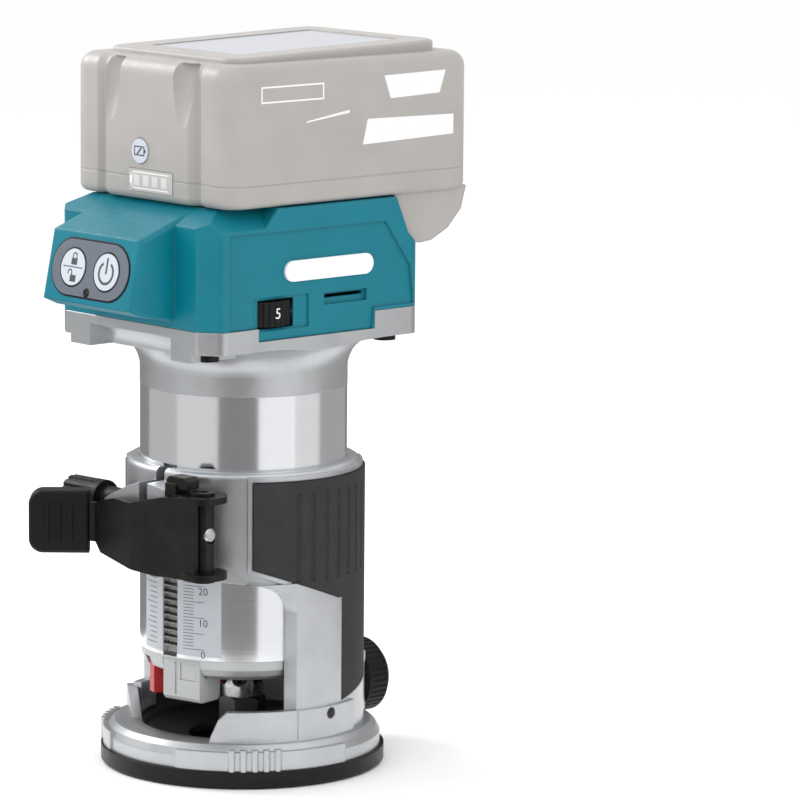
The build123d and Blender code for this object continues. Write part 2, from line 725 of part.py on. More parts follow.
def make_battery_cover():
    shell = rounded_pack(shell_top, 5.0) & block((-50, 50), (-50, 70), (battery_seam, 230))
    lid = prism_z([(31, 54), (31, -30.5), (-31, -30.5), (-31, 54)], 222.0, battery_top + 6, radius=6.0)
    lid -= lid_slope(0)
    shell += fillet(lid.faces().sort_by(Axis.Z)[-1].edges(), 1.2)
    shell -= block((-21, 21), (-20, 45), (220, 240)) & lid_slope(-0.6)
    shell -= pack_inside(battery_seam - 1, 221.0)
    grooves = finger_grooves()
    shell += (Pos(0, 1.6, -1.6) * grooves & rounded_pack(shell_top, 5.0)) - grooves
    shell -= grooves
    shell -= rod_y(gauge_button_radius + 0.15, -50, battery_front + 3.4, *gauge_button_place)
    return shell - gauge_recess()


def lid_slope(shift):
    """All above the lid, which rises a little towards the rear."""
    front, rear = battery_top + shift, battery_top + lid_rise + shift
    return prism_x([(-60, front), (-30.5, front), (54, rear), (80, rear), (80, 240), (-60, 240)], -50, 50)


def pack_inside(low, high):
    walls = [(battery_half - 2.3, battery_rear - 2.3), (battery_half - 2.3, -33.4)]
    return prism_z(mirrored(walls), low, high, radius=5.0)


def rounded_pack(top, radius):
    """The whole outer form of the pack, with its top and bottom rims rounded."""
    form = pack_plan(battery_bottom, top)
    form = rounded_rim(form, -1, radius)
    return rounded_rim(form, 0, 2.4)


def rounded_rim(form, level, radius):
    return fillet(form.edges().group_by(Axis.Z)[level], radius)


def hump_profile():
    return [(30.2, 181.5), (30.2, 180.4), (35.8, 167.9), (38.6, 165.3), (41.0, 164.7), (46.0, 165.2),
            (53.0, 168.6), (58.5, 174.2), (60.6, 181.5)]


def make_battery_tray():
    tray = rounded_pack(shell_top, 5.0) & block((-50, 50), (-50, 70), (170, battery_seam))
    tray += prism_x(hump_profile(), -36.3, 36.3)
    tray += block((-29.9, 29.9), (-33.4, 31.0), (channel_floor + 0.3, 175.9))
    tray += block((-26.9, 26.9), (-33.4, 31.0), (175.8, battery_bottom + 1))
    tray -= pack_inside(battery_bottom + 2.5, battery_seam + 1)
    tray -= block((-25, 25), (-22.0, 27.0), (171.5, 190))
    tray -= block((-33, 33), (40.0, 54.5), (173.5, 181.4))
    tray -= gauge_recess()
    for x in terminal_places:
        tray -= block((x - 1.6, x + 1.6), (-40, -3.0), (168, 175.0))
    tray -= latch_room()
    return tray


def latch_room():
    """Slot for the release latch: a window in the hump's end and a way down to its hook."""
    window = block((-14.2, 14.2), (56.3, 70), (170.4, 186.4))
    return window + block((-12.2, 12.2), (44.0, 58), (174.2, 181.4))


def make_release_latch():
    outline = [(56.6, 172.0), (57.6, 172.8), (60.2, 177.0), (61.4, 180.6), (61.4, 183.0), (56.6, 183.0)]
    pad = prism_x(outline, -13.9, 13.9)
    stem = block((-11.9, 11.9), (46.0, 56.8), (174.8, 177.4))
    return pad + stem


def make_latch_spring():
    coil = tube(2.6, 1.9, 177.4, 181.4)
    return Pos(0, 50, 0) * coil


def cell_places():
    places = []
    for row in range(2):
        for column in range(5):
            places.append((-22.0 + 18.05 * column, 193.3 + 18.05 * row))
    return places


def make_battery_cells():
    cells = []
    for y, z in cell_places():
        cells.append(rod_x(cell_radius, -cell_length / 2, cell_length / 2, y, z))
    return Compound(children=cells)


def make_cell_board():
    return block((-22, 22), (-20, 25), (181.8, 183.3))


def make_contact_clips():
    clips = []
    for x in terminal_places:
        clip = block((x - 1.5, x + 1.5), (-14.0, -3.1), (170.5, 174.9))
        clips.append(clip - block((x - 0.55, x + 0.55), (-20.0, -5.0), (160, 180)))
    return Compound(children=clips)


def gauge_recess():
    return block((gauge_left - 0.05, gauge_right + 0.05), (battery_front - 5, battery_front + 0.9),
                 (gauge_low - 0.05, gauge_high + 0.05))


def make_gauge_panel():
    return block((gauge_left, gauge_right), (battery_front - 0.2, battery_front + 0.9), (gauge_low, gauge_high))


def make_gauge_button():
    return rod_y(gauge_button_radius, battery_front - 0.4, battery_front + 2.2, *gauge_button_place)


def make_top_label():
    plate = block((-20.9, 20.9), (-19.9, 44.9), (220, 240))
    return plate & (lid_slope(-0.6) - lid_slope(-0.3))


def make_parts():
    save("base_plate", make_base_plate())
    save("base_plate_screws", make_base_plate_screws())
    save("base_casting", make_base_casting())
    grip = make_grip()
    save("grip_right", grip)
    save("grip_left", mirror(grip, about=Plane.YZ))
    save("clamp_bolt", make_clamp_bolt())
    save("cross_pin", make_cross_pin())
    save("cam_block", make_cam_block())
    save("clamp_lever", make_clamp_lever())
    save("lever_tip", make_lever_tip())
    save("pinion", make_pinion())
    save("adjuster_knob", make_adjuster_knob())
    save("clamp_knob", make_clamp_knob())
    save("clamp_knob_screw", make_clamp_knob_screw())
    save("motor_barrel", make_motor_barrel())
    save("depth_rack", make_depth_rack())
    save("scale_label", make_scale_label())
    save("end_cap", make_end_cap())
    save("lamp_lens", make_lamp_lens())
    save("lamp_board", make_lamp_board())
    save("shaft_lock", make_shaft_lock())
    save("lower_bearing", make_bearing(14.0, 6.03, 38.0, 46.0))
    save("upper_bearing", make_bearing(11.0, 4.03, 113.0, 120.0))
    save("stator_core", make_stator_core())
    save("windings", make_windings())
    save("rotor", make_rotor())
    save("fan", make_fan())
    save("spindle", make_spindle())
    save("collet", make_collet())
    save("collet_nut", make_collet_nut())
    save("head_casting", make_head_casting())
    save("head_screws", make_head_screws())
    save("head_housing", make_head_housing())
    save("button_panel", make_button_panel())
    save("lock_button", make_button(-8.0))
    save("power_button", make_button(8.0))
    save("panel_board", make_panel_board())
    save("speed_dial", make_speed_dial())
    save("dial_pin", make_dial_pin())
    save("control_board", make_control_board())
    save("side_badge", make_side_badge())
    save("terminal_block", make_terminal_block())
    save("terminal_blades", make_terminal_blades())
    save("battery_cover", make_battery_cover())
    save("battery_tray", make_battery_tray())
    save("release_latch", make_release_latch())
    save("latch_spring", make_latch_spring())
    save("battery_cells", make_battery_cells())
    save("cell_board", make_cell_board())
    save("contact_clips", make_contact_clips())
    save("gauge_panel", make_gauge_panel())
    save("gauge_button", make_gauge_button())
    save("top_label", make_top_label())


make_parts()
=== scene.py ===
"""Looks of the cordless trim router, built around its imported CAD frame.

Blender units are metres.  Most sizes below are written in millimetres and pass through mm().
Angles about the spindle axis are measured from the front (-Y), positive towards +X.
"""
import bpy
import bmesh
import json
from math import cos, pi, radians, sin
from mathutils import Matrix, Vector


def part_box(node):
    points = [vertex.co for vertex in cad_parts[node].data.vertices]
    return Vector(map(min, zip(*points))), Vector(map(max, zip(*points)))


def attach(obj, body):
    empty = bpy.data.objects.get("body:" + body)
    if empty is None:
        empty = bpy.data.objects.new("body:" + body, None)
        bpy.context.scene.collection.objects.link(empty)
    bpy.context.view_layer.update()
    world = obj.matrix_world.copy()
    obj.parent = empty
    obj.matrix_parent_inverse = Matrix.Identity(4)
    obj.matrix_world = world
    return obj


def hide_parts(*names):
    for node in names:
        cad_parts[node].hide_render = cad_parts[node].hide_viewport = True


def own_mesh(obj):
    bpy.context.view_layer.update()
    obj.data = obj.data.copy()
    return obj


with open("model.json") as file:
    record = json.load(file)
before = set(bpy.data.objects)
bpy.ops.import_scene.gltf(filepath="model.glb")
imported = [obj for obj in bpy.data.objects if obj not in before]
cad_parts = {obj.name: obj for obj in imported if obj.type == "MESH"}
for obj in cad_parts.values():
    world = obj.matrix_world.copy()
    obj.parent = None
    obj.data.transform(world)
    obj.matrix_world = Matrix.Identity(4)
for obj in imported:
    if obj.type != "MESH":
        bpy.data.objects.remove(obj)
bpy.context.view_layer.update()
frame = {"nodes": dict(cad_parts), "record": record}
nodes = frame["nodes"]

MM = 0.001
view_azimuth = radians(47.5)
view_height = radians(9.15)
view_roll = radians(0.5)
view_distance = 1.587
view_sideways = 0.05005
view_upwards = 0.11312
lens_length = 225
light_target = Vector((0, 0, 0.12))
card_distance = 0.2
card_top = 0.19
floor_reach = 12
floor_drop = 0.0002


def mm(*values):
    return Vector(values) * MM


# ---- camera and studio ----
def view_axes():
    """The camera's right, up and backward directions."""
    a, e = view_azimuth, view_height
    back = Vector((sin(a) * cos(e), -cos(a) * cos(e), sin(e)))
    right = Vector((cos(a), sin(a), 0))
    up = back.cross(right)
    turned_right = right * cos(view_roll) + up * sin(view_roll)
    return turned_right, back.cross(turned_right), back


def make_camera():
    right, up, back = view_axes()
    data = bpy.data.cameras.new("camera")
    data.sensor_width = 36
    data.lens = lens_length
    data.clip_start = 0.1
    data.clip_end = 50
    camera = bpy.data.objects.new("camera", data)
    axes = Matrix((right, up, back)).transposed()
    place = back * view_distance + right * view_sideways + up * view_upwards
    camera.matrix_world = Matrix.Translation(place) @ axes.to_4x4()
    bpy.context.scene.collection.objects.link(camera)
    bpy.context.scene.camera = camera


def studio_direction(turn, height=0.0):
    """A direction from the object, turn degrees to the right of the camera."""
    a = view_azimuth + radians(turn)
    e = radians(height)
    return Vector((sin(a) * cos(e), -cos(a) * cos(e), sin(e)))


def aim(obj, place, target):
    obj.location = place
    obj.rotation_mode = "QUATERNION"
    obj.rotation_quaternion = (place - target).to_track_quat("Z", "Y")


def make_light(name, turn, height, distance, size, power):
    """A square area light that points at the middle of the tool."""
    data = bpy.data.lights.new(name, "AREA")
    data.shape = "RECTANGLE"
    data.size, data.size_y = size, size
    data.energy = power
    light = bpy.data.objects.new(name, data)
    aim(light, light_target + studio_direction(turn, height) * distance, light_target)
    light.visible_camera = False
    bpy.context.scene.collection.objects.link(light)


def make_card(name, turn, width, brightness):
    """A plain card standing on the floor that shows only in reflections."""
    out = studio_direction(turn)
    side = Vector((-out.y, out.x, 0))
    corners = [out * card_distance + side * (s * width / 2) + Vector((0, 0, z))
               for s, z in ((-1, 0.0), (1, 0.0), (1, card_top), (-1, card_top))]
    mesh = bpy.data.meshes.new(name)
    mesh.from_pydata(corners, [], [(0, 1, 2, 3)])
    card = bpy.data.objects.new(name, mesh)
    bpy.context.scene.collection.objects.link(card)
    card.data.materials.append(plain_glow(name, brightness))
    card.visible_camera = False
    card.visible_diffuse = False
    card.visible_shadow = False
    card.visible_transmission = False


def plain_glow(name, brightness):
    mat = bpy.data.materials.new(name)
    mat.use_nodes = True
    tree = mat.node_tree
    tree.nodes.clear()
    out = tree.nodes.new("ShaderNodeOutputMaterial")
    glow = tree.nodes.new("ShaderNodeEmission")
    glow.inputs["Color"].default_value = (1, 1, 1, 1)
    glow.inputs["Strength"].default_value = brightness
    tree.links.new(glow.outputs[0], out.inputs["Surface"])
    return mat


def make_world():
    scene = bpy.context.scene
    scene.view_settings.view_transform = "Standard"
    world = bpy.data.worlds.new("studio")
    scene.world = world
    world.use_nodes = True
    background = world.node_tree.nodes["Background"]
    background.inputs["Color"].default_value = (1.0, 1.0, 1.0, 1)
    background.inputs["Strength"].default_value = 1.0


def make_floor():
    mesh = bpy.data.meshes.new("floor")
    corners = [(floor_reach * x, floor_reach * y, 0) for x, y in ((-1, -1), (1, -1), (1, 1), (-1, 1))]
    mesh.from_pydata(corners, [], [(0, 1, 2, 3)])
    floor = bpy.data.objects.new("floor", mesh)
    bpy.context.scene.collection.objects.link(floor)
    floor.location.z = -floor_drop
    mat = bpy.data.materials.new("floor_white")
    mat.use_nodes = True
    shader = mat.node_tree.nodes["Principled BSDF"]
    shader.inputs["Base Color"].default_value = (0.98, 0.98, 0.98, 1)
    shader.inputs["Roughness"].default_value = 0.9
    floor.data.materials.append(mat)


def make_lights():
    make_light("key_left", -62, 32, 1.1, 0.9, 1.6)
    make_light("fill_right", 50, 30, 1.2, 0.8, 1.6)
    make_light("top", 0, 84, 1.2, 1.3, 2.4)
    make_light("glint", -121, 33, 1.0, 0.4, 4.5)


def make_cards():
    """The bright and dark stripes on the turned barrel: direction, width and brightness of each."""
    make_card("card_left_edge", -150, 0.23, 0.25)
    make_card("card_left_outer", -96, 0.18, 0.5)
    make_card("card_left_inner", -48, 0.18, 0.68)
    make_card("card_middle", -3.5, 0.15, 0.24)
    make_card("card_right", 35.5, 0.135, 0.95)
    make_card("card_right_outer", 72, 0.12, 0.75)
    make_card("card_right_edge", 122, 0.28, 0.38)
    make_card("card_behind", 178, 0.25, 0.2)


make_camera()
make_world()
make_floor()
make_lights()
make_cards()


# ---- materials ----
class Look:
    """A procedural material that is built up step by step around one Principled shader."""

    def __init__(self, name, colour, roughness, metallic=0.0, edge=0.0, **sockets):
        self.mat = bpy.data.materials.new(name)
        self.mat.use_nodes = True
        self.tree = self.mat.node_tree
        self.shader = self.tree.nodes["Principled BSDF"]
        self.colour, self.roughness = colour, roughness
        self.set("Base Color", (*colour, 1))
        self.set("Roughness", roughness)
        self.set("Metallic", metallic)
        for socket, value in sockets.items():
            self.set(socket.replace("_", " "), value)
        self.place = self.node("ShaderNodeTexCoord").outputs["Object"]
        self.normal = None
        if edge:
            bevel = self.node("ShaderNodeBevel")
            bevel.samples = 4
            bevel.inputs["Radius"].default_value = edge * MM
            self.normal = bevel.outputs["Normal"]
            self.link(self.normal, self.shader.inputs["Normal"])

    def set(self, socket, value):
        self.shader.inputs[socket].default_value = value

    def node(self, kind):
        return self.tree.nodes.new(kind)

    def link(self, start, end):
        self.tree.links.new(start, end)

    def noise(self, scale, detail=3.0, roughness=0.5, stretch=None):
        """Noise whose largest features are about scale millimetres across."""
        texture = self.node("ShaderNodeTexNoise")
        texture.inputs["Scale"].default_value = 1 / (scale * MM)
        texture.inputs["Detail"].default_value = detail
        texture.inputs["Roughness"].default_value = roughness
        self.link(self.stretched(stretch), texture.inputs["Vector"])
        return texture.outputs["Fac"]

    def stretched(self, stretch):
        if not stretch:
            return self.place
        mapping = self.node("ShaderNodeMapping")
        mapping.inputs["Scale"].default_value = stretch
        self.link(self.place, mapping.inputs["Vector"])
        return mapping.outputs["Vector"]

    def cells(self, scale):
        texture = self.node("ShaderNodeTexVoronoi")
        texture.inputs["Scale"].default_value = 1 / (scale * MM)
        self.link(self.place, texture.inputs["Vector"])
        return texture.outputs["Distance"]

    def spread(self, source, low, high, start=0.3, end=0.7):
        """Maps a texture's middle range onto low to high."""
        node = self.node("ShaderNodeMapRange")
        node.inputs["From Min"].default_value = start
        node.inputs["From Max"].default_value = end
        node.inputs["To Min"].default_value = low
        node.inputs["To Max"].default_value = high
        self.link(source, node.inputs["Value"])
        return node.outputs["Result"]

    def vary_colour(self, source, amount):
        """Lightens and darkens the colour by the given share."""
        ramp = self.node("ShaderNodeValToRGB")
        dark = [c * (1 - amount) for c in self.colour]
        light = [min(1.0, c * (1 + amount)) for c in self.colour]
        ramp.color_ramp.elements[0].position = 0.3
        ramp.color_ramp.elements[0].color = (*dark, 1)
        ramp.color_ramp.elements[1].position = 0.7
        ramp.color_ramp.elements[1].color = (*light, 1)
        self.link(source, ramp.inputs["Fac"])
        self.link(ramp.outputs["Color"], self.shader.inputs["Base Color"])

    def inside(self, near, far, top):
        """1 near the spindle axis and below the given height, 0 outside, all in millimetres."""
        flat = self.node("ShaderNodeVectorMath")
        flat.operation = "MULTIPLY"
        flat.inputs[1].default_value = (1, 1, 0)
        self.link(self.place, flat.inputs[0])
        length = self.node("ShaderNodeVectorMath")
        length.operation = "LENGTH"
        self.link(flat.outputs["Vector"], length.inputs[0])
        close = self.spread(length.outputs["Value"], 1, 0, near * MM, far * MM)
        low = self.height_range(top - 4, top, 1, 0)
        both = self.node("ShaderNodeMath")
        both.operation = "MULTIPLY"
        self.link(close, both.inputs[0])
        self.link(low, both.inputs[1])
        return both.outputs["Value"]

    def height_range(self, start, end, low, high):
        """Changes from low to high between two heights in millimetres."""
        split = self.node("ShaderNodeSeparateXYZ")
        self.link(self.place, split.inputs["Vector"])
        return self.spread(split.outputs["Z"], low, high, start * MM, end * MM)

    def tint(self, mask, colour, most):
        """Blends another colour into the varied one where the mask is 1."""
        mix = self.node("ShaderNodeMix")
        mix.data_type = "RGBA"
        socket = self.shader.inputs["Base Color"]
        self.link(socket.links[0].from_socket, mix.inputs["A"])
        mix.inputs["B"].default_value = (*colour, 1)
        amount = self.spread(mask, 0, most, 0, 1)
        self.link(amount, mix.inputs["Factor"])
        self.link(mix.outputs["Result"], socket)

    def vary_roughness(self, source, amount):
        low, high = self.roughness - amount, self.roughness + amount
        self.link(self.spread(source, low, high), self.shader.inputs["Roughness"])

    def bump(self, source, height, strength=1.0):
        """Adds relief of about height millimetres."""
        node = self.node("ShaderNodeBump")
        node.inputs["Strength"].default_value = strength
        node.inputs["Distance"].default_value = height * MM
        self.link(source, node.inputs["Height"])
        if self.normal:
            self.link(self.normal, node.inputs["Normal"])
        self.normal = node.outputs["Normal"]
        self.link(self.normal, self.shader.inputs["Normal"])


def cast_paint(name, colour, edge=0.5, painted_bowl_shade=False):
    """Silver paint on a sand-textured casting; optionally with painted shade, a near-black tint inside the
    foot around the spindle axis.
    """
    look = Look(name, colour, 0.36, 0.85, edge)
    look.vary_colour(look.noise(9.0), 0.05)
    if painted_bowl_shade:
        # painted shade: up to 85 % near-black inside the foot within 31 mm of the spindle axis and below 18
        # mm, fading out by 36 mm and 22 mm
        look.tint(look.inside(31.0, 36.0, 22.0), (0.07, 0.064, 0.055), 0.85)
    look.vary_roughness(look.noise(0.6), 0.08)
    look.bump(look.noise(0.55, 2.0), 0.035)
    look.bump(look.noise(4.0), 0.05, 0.5)
    return look.mat


def turned_metal(name, colour):
    """Metal with fine turning marks that run around the Z axis."""
    look = Look(name, colour, 0.13, 1.0, Anisotropic=0.6)
    tangent = look.node("ShaderNodeTangent")
    tangent.direction_type = "RADIAL"
    tangent.axis = "Z"
    look.link(tangent.outputs["Tangent"], look.shader.inputs["Tangent"])
    rings = look.noise(0.16, 2.0, 0.6, (0.004, 0.004, 1.0))
    look.vary_roughness(rings, 0.03)
    look.vary_colour(look.noise(1.1, 3.0, 0.6, (0.004, 0.004, 1.0)), 0.02)
    look.bump(rings, 0.0006)
    return look.mat


def machined(name, colour, roughness=0.3):
    """Bare cut steel or iron with faint tool marks."""
    look = Look(name, colour, roughness, 1.0, 0.25)
    look.vary_roughness(look.noise(1.2), 0.08)
    look.vary_colour(look.noise(5.0), 0.08)
    look.bump(look.noise(0.3, 2.0, 0.5, (0.15, 1.0, 1.0)), 0.006)
    return look.mat


def moulded(name, colour, roughness=0.35, grain=0.35, relief=0.012, edge=0.5, **sockets):
    """Moulded plastic with a fine spark-eroded grain and a little wear in its gloss."""
    look = Look(name, colour, roughness, 0.0, edge, **sockets)
    look.vary_colour(look.noise(14.0, 4.0), 0.04)
    look.vary_roughness(look.noise(2.5, 4.0), 0.06)
    look.bump(look.noise(grain, 2.0), relief)
    return look.mat


def rubber(name, colour):
    """Matt rubber with a pebbled surface."""
    look = Look(name, colour, 0.72, 0.0, 0.5, Specular_IOR_Level=0.35)
    look.vary_colour(look.noise(6.0, 4.0), 0.12)
    look.vary_roughness(look.noise(1.5), 0.08)
    look.bump(look.cells(0.55), 0.05)
    return look.mat


def oxide(name, colour):
    """Black-oxidised pressed steel, slightly mottled."""
    look = Look(name, colour, 0.33, 0.55, 0.35)
    look.vary_colour(look.noise(7.0, 5.0), 0.3)
    look.vary_roughness(look.noise(2.0, 4.0), 0.09)
    look.bump(look.noise(0.8, 3.0), 0.02)
    return look.mat


def printed(name, colour, roughness=0.3):
    """Flat ink or a smooth printed plate."""
    look = Look(name, colour, roughness, 0.0)
    look.vary_colour(look.noise(3.0), 0.03)
    look.bump(look.noise(1.0), 0.004)
    return look.mat


def frosted(name, colour):
    """Frosted clear plastic."""
    look = Look(name, colour, 0.45, 0.0, 0.4, Transmission_Weight=0.35, IOR=1.49)
    look.vary_roughness(look.noise(2.0), 0.1)
    look.bump(look.noise(0.7), 0.02)
    return look.mat


LOOKS = {
    "resin_black": moulded("resin_black", (0.004, 0.004, 0.0045), 0.36, 0.5, 0.01,
                           Specular_IOR_Level=0.25),
    "fastener_steel": machined("fastener_steel", (0.62, 0.62, 0.62)),
    # the silver casting gets painted shade, a near-black tint inside the foot
    "casting_silver": cast_paint("casting_silver", (0.53, 0.542, 0.557), painted_bowl_shade=True),
    "grip_rubber": rubber("grip_rubber", (0.024, 0.025, 0.027)),
    "lever_black": oxide("lever_black", (0.011, 0.0105, 0.009)),
    "plastic_black": moulded("plastic_black", (0.005, 0.005, 0.0055), 0.45, 0.45, 0.03,
                             Specular_IOR_Level=0.25),
    "gear_steel": machined("gear_steel", (0.3, 0.3, 0.3)),
    "barrel_metal": turned_metal("barrel_metal", (0.86, 0.87, 0.89)),
    "label_print": printed("label_print", (0.44, 0.45, 0.49)),
    "cap_grey": cast_paint("cap_grey", (0.46, 0.47, 0.475)),
    "lamp_clear": frosted("lamp_clear", (0.62, 0.64, 0.63)),
    "board_green": moulded("board_green", (0.01, 0.12, 0.06), 0.4, 0.8, 0.02),
    "lock_red": moulded("lock_red", (0.42, 0.012, 0.02), 0.3),
    "stator_iron": machined("stator_iron", (0.25, 0.25, 0.27), 0.45),
    "copper": machined("copper", (0.72, 0.35, 0.17), 0.35),
    "nut_steel": machined("nut_steel", (0.2, 0.2, 0.195), 0.42),
    "housing_teal": moulded("housing_teal", (0.0, 0.17, 0.23), 0.34, 0.4, 0.014, 0.9,
                            Specular_IOR_Level=0.3),
    "panel_grey": printed("panel_grey", (0.125, 0.143, 0.175), 0.26),
    "button_white": printed("button_white", (0.55, 0.59, 0.65)),
    "badge_white": printed("badge_white", (0.85, 0.86, 0.88)),
    "pack_grey": moulded("pack_grey", (0.385, 0.366, 0.349), 0.4, 0.5, 0.014, 0.9),
    "gauge_print": printed("gauge_print", (0.5, 0.48, 0.46)),
    "spring_steel": machined("spring_steel", (0.6, 0.6, 0.6)),
    "cell_wrap": moulded("cell_wrap", (0.04, 0.16, 0.4), 0.3),
}


def node_slots():
    """The record's material slot of each CAD node."""
    return {entry["node"]: entry["material_slot"] for entry in frame["record"]["subparts"]}


def paint(obj, look):
    obj.data.materials.clear()
    obj.data.materials.append(look)


for node_name, slot_name in node_slots().items():
    paint(nodes[node_name], LOOKS[slot_name])


# ---- helpers for added pieces ----
def new_piece(name, mesh, look, body):
    """Adds a mesh as a named piece that moves with a CAD body."""
    piece = bpy.data.objects.new(name, mesh)
    bpy.context.scene.collection.objects.link(piece)
    paint(piece, look)
    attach(piece, body)
    return piece


def mesh_of(build, name):
    bmesh.ops.recalc_face_normals(build, faces=build.faces)
    mesh = bpy.data.meshes.new(name)
    build.to_mesh(mesh)
    build.free()
    return mesh


def smooth(piece, angle=40):
    """Shades curved faces smooth and keeps edges sharper than the angle."""
    piece.data.shade_smooth()
    piece.data.set_sharp_from_angle(angle=radians(angle))


class Print:
    """Thin raised print, drawn in flat millimetres and laid on a surface by place(x, y, depth)."""

    def __init__(self, place, low=-0.03, high=0.03):
        self.build = bmesh.new()
        self.place = place
        self.low, self.high = low, high

    def patch(self, corners):
        """One solid tile with three or more corners."""
        bottom = [self.build.verts.new(self.place(x, y, self.low)) for x, y in corners]
        top = [self.build.verts.new(self.place(x, y, self.high)) for x, y in corners]
        self.build.faces.new(top)
        self.build.faces.new(bottom[::-1])
        for i in range(len(corners)):
            j = (i + 1) % len(corners)
            self.build.faces.new((bottom[i], bottom[j], top[j], top[i]))

    def bar(self, x0, x1, y0, y1, pieces=1):
        step = (x1 - x0) / pieces
        for i in range(pieces):
            left = x0 + step * i
            self.patch([(left, y0), (left + step, y0), (left + step, y1), (left, y1)])

    def frame(self, x0, x1, y0, y1, width):
        self.bar(x0, x1, y0, y0 + width)
        self.bar(x0, x1, y1 - width, y1)
        self.bar(x0, x0 + width, y0 + width, y1 - width)
        self.bar(x1 - width, x1, y0 + width, y1 - width)

    def arc(self, x, y, outer, inner, start=0.0, end=360.0):
        """Part of a flat ring, from start to end degrees."""
        pieces = max(3, int((end - start) / 9))
        for i in range(pieces):
            a = radians(start + (end - start) * i / pieces)
            b = radians(start + (end - start) * (i + 1) / pieces)
            self.patch([(x + inner * cos(a), y + inner * sin(a)), (x + outer * cos(a), y + outer * sin(a)),
                        (x + outer * cos(b), y + outer * sin(b)), (x + inner * cos(b), y + inner * sin(b))])

    def number(self, digits, x, y, height):
        """Figures centred on x, y."""
        data = bpy.data.curves.new("figures", "FONT")
        data.body = digits
        data.size = height / 0.73
        data.align_x, data.align_y = "CENTER", "CENTER"
        data.extrude = (self.high - self.low) / 2
        data.resolution_u = 4
        text = bpy.data.objects.new("figures", data)
        flat = bpy.data.meshes.new_from_object(text)
        middle = (self.high + self.low) / 2
        for vertex in flat.vertices:
            u, v, w = vertex.co
            vertex.co = self.place(x + u, y + v, middle + w)
        self.build.from_mesh(flat)
        bpy.data.objects.remove(text)
        bpy.data.meshes.remove(flat)

    def finish(self, name, look, body):
        return new_piece(name, mesh_of(self.build, name), look, body)


def grid_tube(name, rings):
    """A closed tube from rings of points, with flat ends."""
    build = bmesh.new()
    rows = [[build.verts.new(point) for point in ring] for ring in rings]
    sides = len(rows[0])
    for low, high in zip(rows, rows[1:]):
        for i in range(sides):
            j = (i + 1) % sides
            build.faces.new((low[i], low[j], high[j], high[i]))
    build.faces.new(rows[0][::-1])
    build.faces.new(rows[-1])
    return mesh_of(build, name)


# ---- places read from the frame ----
barrel_radius = (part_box("motor_barrel")[1].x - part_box("motor_barrel")[0].x) / 2 / MM
scale_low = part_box("scale_label")[0].z / MM
clamp_turn = 5.0
bolt_y = -40.1
face_lean = radians(12.1)
face_middle = mm(0, -61.5, 161.0)
button_rise = 0.5
dial_low, dial_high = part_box("speed_dial")
dial_radius = (dial_high.x - dial_low.x) / 2 / MM
pack_low, pack_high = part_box("battery_cover")


def on_barrel(x, y, depth):
    """Arc length x from the front, height y."""
    a = x / barrel_radius
    r = barrel_radius + depth
    return mm(r * sin(a), -r * cos(a), y)


def barrel_arc(angle):
    return radians(angle) * barrel_radius


def on_dial(x, y, depth):
    middle = (dial_low + dial_high) / 2
    a = x / dial_radius
    r = dial_radius + depth
    return middle + mm(r * cos(a), r * sin(a), y)


def on_button_face(x, y, depth):
    """The tilted button face; x to the right and y up, from the middle of the panel."""
    up = Vector((0, sin(face_lean), cos(face_lean)))
    out = Vector((0, -cos(face_lean), sin(face_lean)))
    return face_middle + Vector((1, 0, 0)) * x * MM + up * y * MM + out * (button_rise + depth) * MM


def on_gauge(x, y, depth):
    return Vector((x * MM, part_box("gauge_panel")[0].y - depth * MM, y * MM))


def on_pack_side(side):
    """A flank of the pack: x towards the back on the right flank, y up."""
    def place(x, y, depth):
        edge = pack_high.x if side > 0 else pack_low.x
        return Vector((edge + side * depth * MM, x * MM, y * MM))
    return place


# ---- printed scale, symbols and figures ----
LOOKS["print_dark"] = printed("print_dark", (0.06, 0.062, 0.07), 0.45)
LOOKS["print_light"] = printed("print_light", (0.83, 0.83, 0.83), 0.4)
LOOKS["print_pale"] = printed("print_pale", (0.66, 0.65, 0.64), 0.4)


def make_scale_print():
    """Millimetre lines right of the rack, sixteenths of an inch left of it."""
    marks = Print(on_barrel, -0.05, 0.02)
    zero = scale_low + 2.2
    for step in range(0, 56):
        end = 27.7 if step % 5 == 0 else 21.3
        z = zero + step
        marks.bar(barrel_arc(14.7), barrel_arc(end), z - 0.1, z + 0.1, 4)
    for tens in range(0, 6):
        marks.number(str(10 * tens), barrel_arc(27.0), zero + 10 * tens - 1.7, 2.4)
    for step in range(0, 35):
        start = -16.5 if step % 4 == 0 else -13.6
        z = zero + step * 25.4 / 16
        marks.bar(barrel_arc(start), barrel_arc(-6.0), z - 0.11, z + 0.11, 4)
    marks.finish("scale_marks", LOOKS["print_dark"], "motor")


def padlock(icon, x, y, opened):
    """A small padlock, with its shackle set aside when it is open."""
    icon.bar(x - 1.35, x + 1.35, y - 1.3, y + 0.75)
    shift = -1.7 if opened else 0.0
    icon.arc(x + shift, y + 1.45, 1.1, 0.68, 0, 180)
    icon.bar(x + shift - 1.1, x + shift - 0.68, y + (0.9 if opened else 0.7), y + 1.45)
    icon.bar(x + shift + 0.68, x + shift + 1.1, y + 0.7, y + 1.45)


def make_button_symbols():
    """Locked and unlocked on the left button, on and off on the right one."""
    lock = Print(on_button_face)
    padlock(lock, -7.7, 2.0, False)
    padlock(lock, -7.3, -3.2, True)
    lock.bar(-12.6, -3.4, -0.15, 0.15)
    lock.finish("lock_symbols", LOOKS["print_dark"], "lock_button")
    power = Print(on_button_face)
    power.arc(8.0, -0.3, 3.7, 2.9, 122, 418)
    power.bar(7.62, 8.38, -0.6, 4.3)
    power.finish("power_symbol", LOOKS["print_dark"], "power_button")


